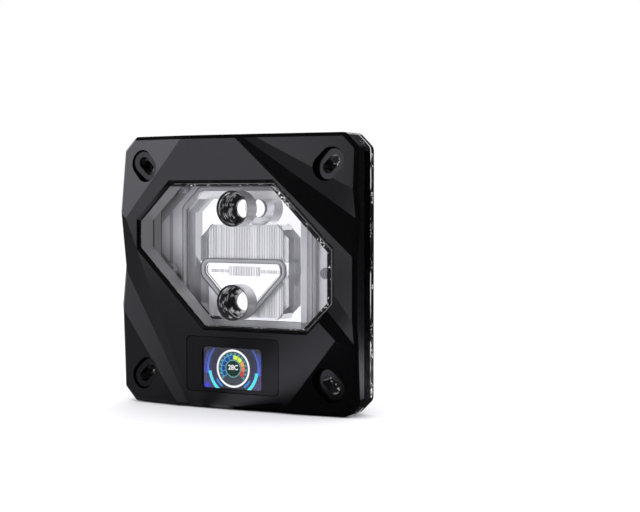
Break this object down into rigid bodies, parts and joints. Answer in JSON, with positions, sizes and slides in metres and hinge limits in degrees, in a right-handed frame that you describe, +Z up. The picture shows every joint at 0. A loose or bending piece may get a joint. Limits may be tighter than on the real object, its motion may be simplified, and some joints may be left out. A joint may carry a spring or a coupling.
{
  "type": "cpu water block",
  "caption": "Square liquid cooling block for a processor: clear body in a black faceted cover with a small screen, threaded ports, slotted corners and a plated metal cold plate.",
  "frame": {"origin": "centre of the cold plate's contact face", "axes": "+Y out of the contact face towards the processor, -Y to the faceted front, +Z up, +X to the right seen from the front"},
  "size_m": [0.0996, 0.0245, 0.0996],
  "materials": {
    "cover": "satin black",
    "clear": "polished clear acrylic",
    "frame": "satin black",
    "plate": "bright plated",
    "jet_plate": "clear acrylic",
    "seal": "matt grey",
    "screws": "turned",
    "inserts": "knurled",
    "lens": "glossy",
    "gasket": "matt",
    "panel": "lit",
    "tray": "pressed",
    "board": "lacquered",
    "chips": "moulded",
    "socket": "moulded",
    "pins": "plated",
    "strip": "white flexible circuit",
    "lights": "moulded"
  },
  "bodies": {
    "root": {"front_cover": "cover", "acrylic_body": "clear", "rear_frame": "frame", "cold_plate": "plate", "jet_plate": "jet_plate", "jet_seal": "seal", "main_seal": "seal", "plate_screws": "screws", "cover_screws": "screws", "cover_inserts": "inserts", "screen_lens": "lens", "lens_gasket": "gasket", "display_panel": "panel", "display_tray": "tray", "display_board": "board", "board_chips": "chips", "board_screws": "screws", "board_inserts": "inserts", "lead_socket": "socket", "socket_pins": "pins", "light_strip": "strip", "light_chips": "lights"}
  },
  "joints": []
}
